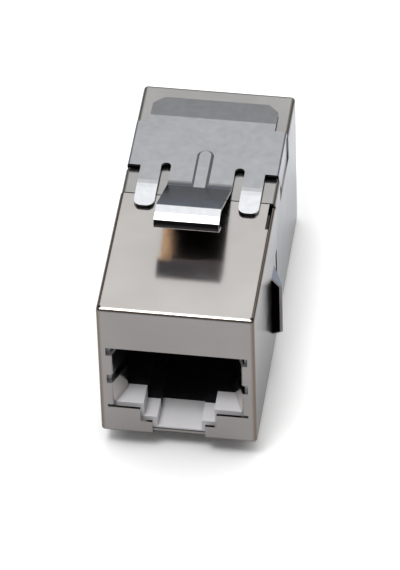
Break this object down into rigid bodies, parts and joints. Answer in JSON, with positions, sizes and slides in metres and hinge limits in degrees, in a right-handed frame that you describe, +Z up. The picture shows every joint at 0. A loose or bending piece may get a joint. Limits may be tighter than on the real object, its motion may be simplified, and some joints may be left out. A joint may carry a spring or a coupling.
{
  "type": "rj45 inline coupler",
  "caption": "Shielded inline coupler that joins two modular network plugs end to end, in a folded sheet-metal case with a sprung latch and a fixed lug for a keystone panel.",
  "frame": {"origin": "on the surface that the coupler stands on, under the middle of its length and width", "axes": "+Y from the front port to the rear port, +Z up towards the spring clip, +X to the right"},
  "size_m": [0.0166, 0.0308, 0.0219],
  "materials": {
    "shell_metal": "satin nickel plate",
    "clip_steel": "matt stainless spring steel",
    "light_plastic": "fine matt moulding",
    "black_plastic": "matt moulding",
    "board_laminate": "solder mask",
    "gold_plating": "gold plated"
  },
  "bodies": {
    "root": {"front_shell": "shell_metal", "rear_shell": "shell_metal", "spring_clip": "clip_steel", "front_port_bezel": "light_plastic", "front_jack_housing": "black_plastic", "front_contact_carrier": "black_plastic", "rear_port_bezel": "light_plastic", "rear_jack_housing": "black_plastic", "rear_contact_carrier": "black_plastic", "circuit_board": "board_laminate", "front_contact_1": "gold_plating", "front_contact_2": "gold_plating", "front_contact_3": "gold_plating", "front_contact_4": "gold_plating", "front_contact_5": "gold_plating", "front_contact_6": "gold_plating", "front_contact_7": "gold_plating", "front_contact_8": "gold_plating", "rear_contact_1": "gold_plating", "rear_contact_2": "gold_plating", "rear_contact_3": "gold_plating", "rear_contact_4": "gold_plating", "rear_contact_5": "gold_plating", "rear_contact_6": "gold_plating", "rear_contact_7": "gold_plating", "rear_contact_8": "gold_plating"}
  },
  "joints": []
}
